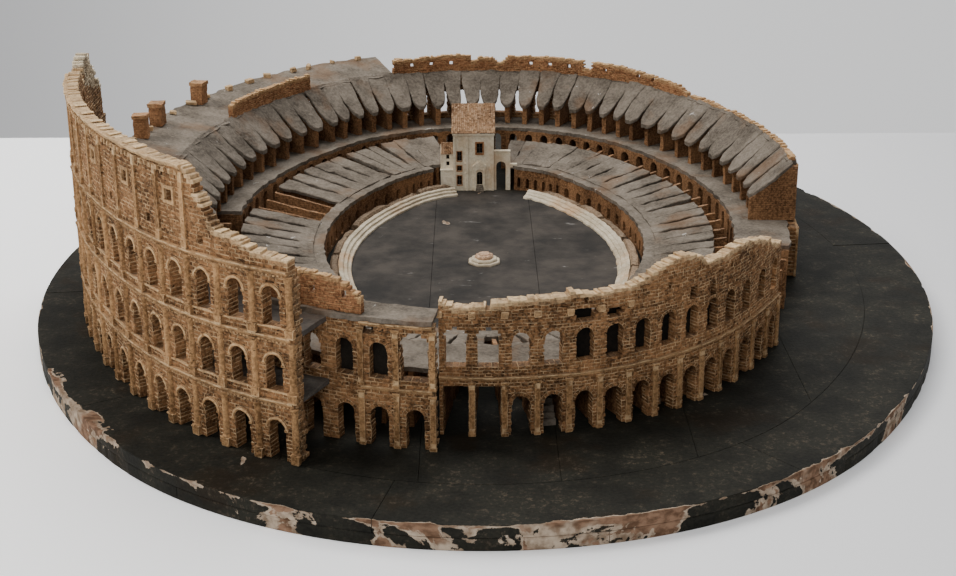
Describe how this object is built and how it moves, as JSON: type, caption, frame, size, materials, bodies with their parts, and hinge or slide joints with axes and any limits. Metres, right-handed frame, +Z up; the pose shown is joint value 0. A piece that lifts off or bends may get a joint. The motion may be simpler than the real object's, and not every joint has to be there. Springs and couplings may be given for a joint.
{
  "type": "miniature landmark model",
  "caption": "Ruined oval amphitheatre in cork and plaster on an oval painted board, with arcaded rings, sloping seating, a flat arena and a small chapel.",
  "frame": {"origin": "middle of the board's underside", "axes": "+Z up, +Y along the long axis towards the chapel's end, +X towards the low right side, with the tall outer ring at -X"},
  "size_m": [0.864, 1.078, 0.248],
  "materials": {
    "cork": "porous ochre cork, light worn edges, dark pores",
    "light_cork": "lighter cork mouldings with worn edges",
    "red_cork": "reddish cork scored as brickwork",
    "pale_plaster": "pale chalky plaster over cork, stained",
    "grey_plaster": "dusty dark grey plaster with scuffs",
    "cream_plaster": "cream painted plaster, weathered",
    "tile_card": "terracotta coloured embossed tiles",
    "painted_board": "black-brown paint, scuffed, with chips",
    "worn_board_edge": "chipped paint over pale ground and brown wood"
  },
  "bodies": {
    "root": {"board_planks": "painted_board", "board_rim_upper": "painted_board", "board_rim_lower": "worn_board_edge", "centre_base": "pale_plaster", "centre_stump": "red_cork", "arena_steps_left": "pale_plaster", "arena_steps_right": "pale_plaster", "coping_blocks": "red_cork", "podium_wall": "cork", "podium_lip": "grey_plaster", "lower_walls": "cork", "lower_slabs_left": "grey_plaster", "lower_slabs_right": "grey_plaster", "gallery_arcade": "cork", "gallery_floor": "grey_plaster", "near_deck": "grey_plaster", "upper_walls": "red_cork", "upper_slabs_back": "grey_plaster", "upper_slabs_left": "grey_plaster", "terrace": "grey_plaster", "back_brick_wall": "red_cork", "left_brick_wall": "red_cork", "brick_stacks": "red_cork", "end_wall_right": "red_cork", "end_wall_left": "cork", "back_facade_1": "cork", "back_facade_2": "cork", "rear_facade_1": "cork", "rear_facade_2": "cork", "front_facade_1": "cork", "front_facade_2": "cork", "front_facade_top": "cork", "front_cornice": "light_cork", "front_pilasters": "light_cork", "middle_wall_1": "cork", "middle_wall_2": "cork", "middle_upper_wall": "red_cork", "middle_terrace": "grey_plaster", "middle_cornices": "light_cork", "middle_pilasters": "light_cork", "outer_storey_1": "cork", "outer_storey_2": "cork", "outer_storey_3": "cork", "outer_attic": "cork", "outer_cornice_1": "light_cork", "outer_cornice_2": "light_cork", "outer_cornice_3": "light_cork", "outer_top_cornice": "light_cork", "half_columns": "light_cork", "column_pedestals": "light_cork", "attic_pilasters": "light_cork", "window_frames": "light_cork", "corridor_floors": "grey_plaster", "stair_flights": "grey_plaster", "rubble": "light_cork", "chapel_tower": "cream_plaster", "chapel_annex": "cream_plaster", "tiled_roofs": "tile_card", "chapel_door": "pale_plaster", "chapel_gateway": "cream_plaster"}
  },
  "joints": []
}
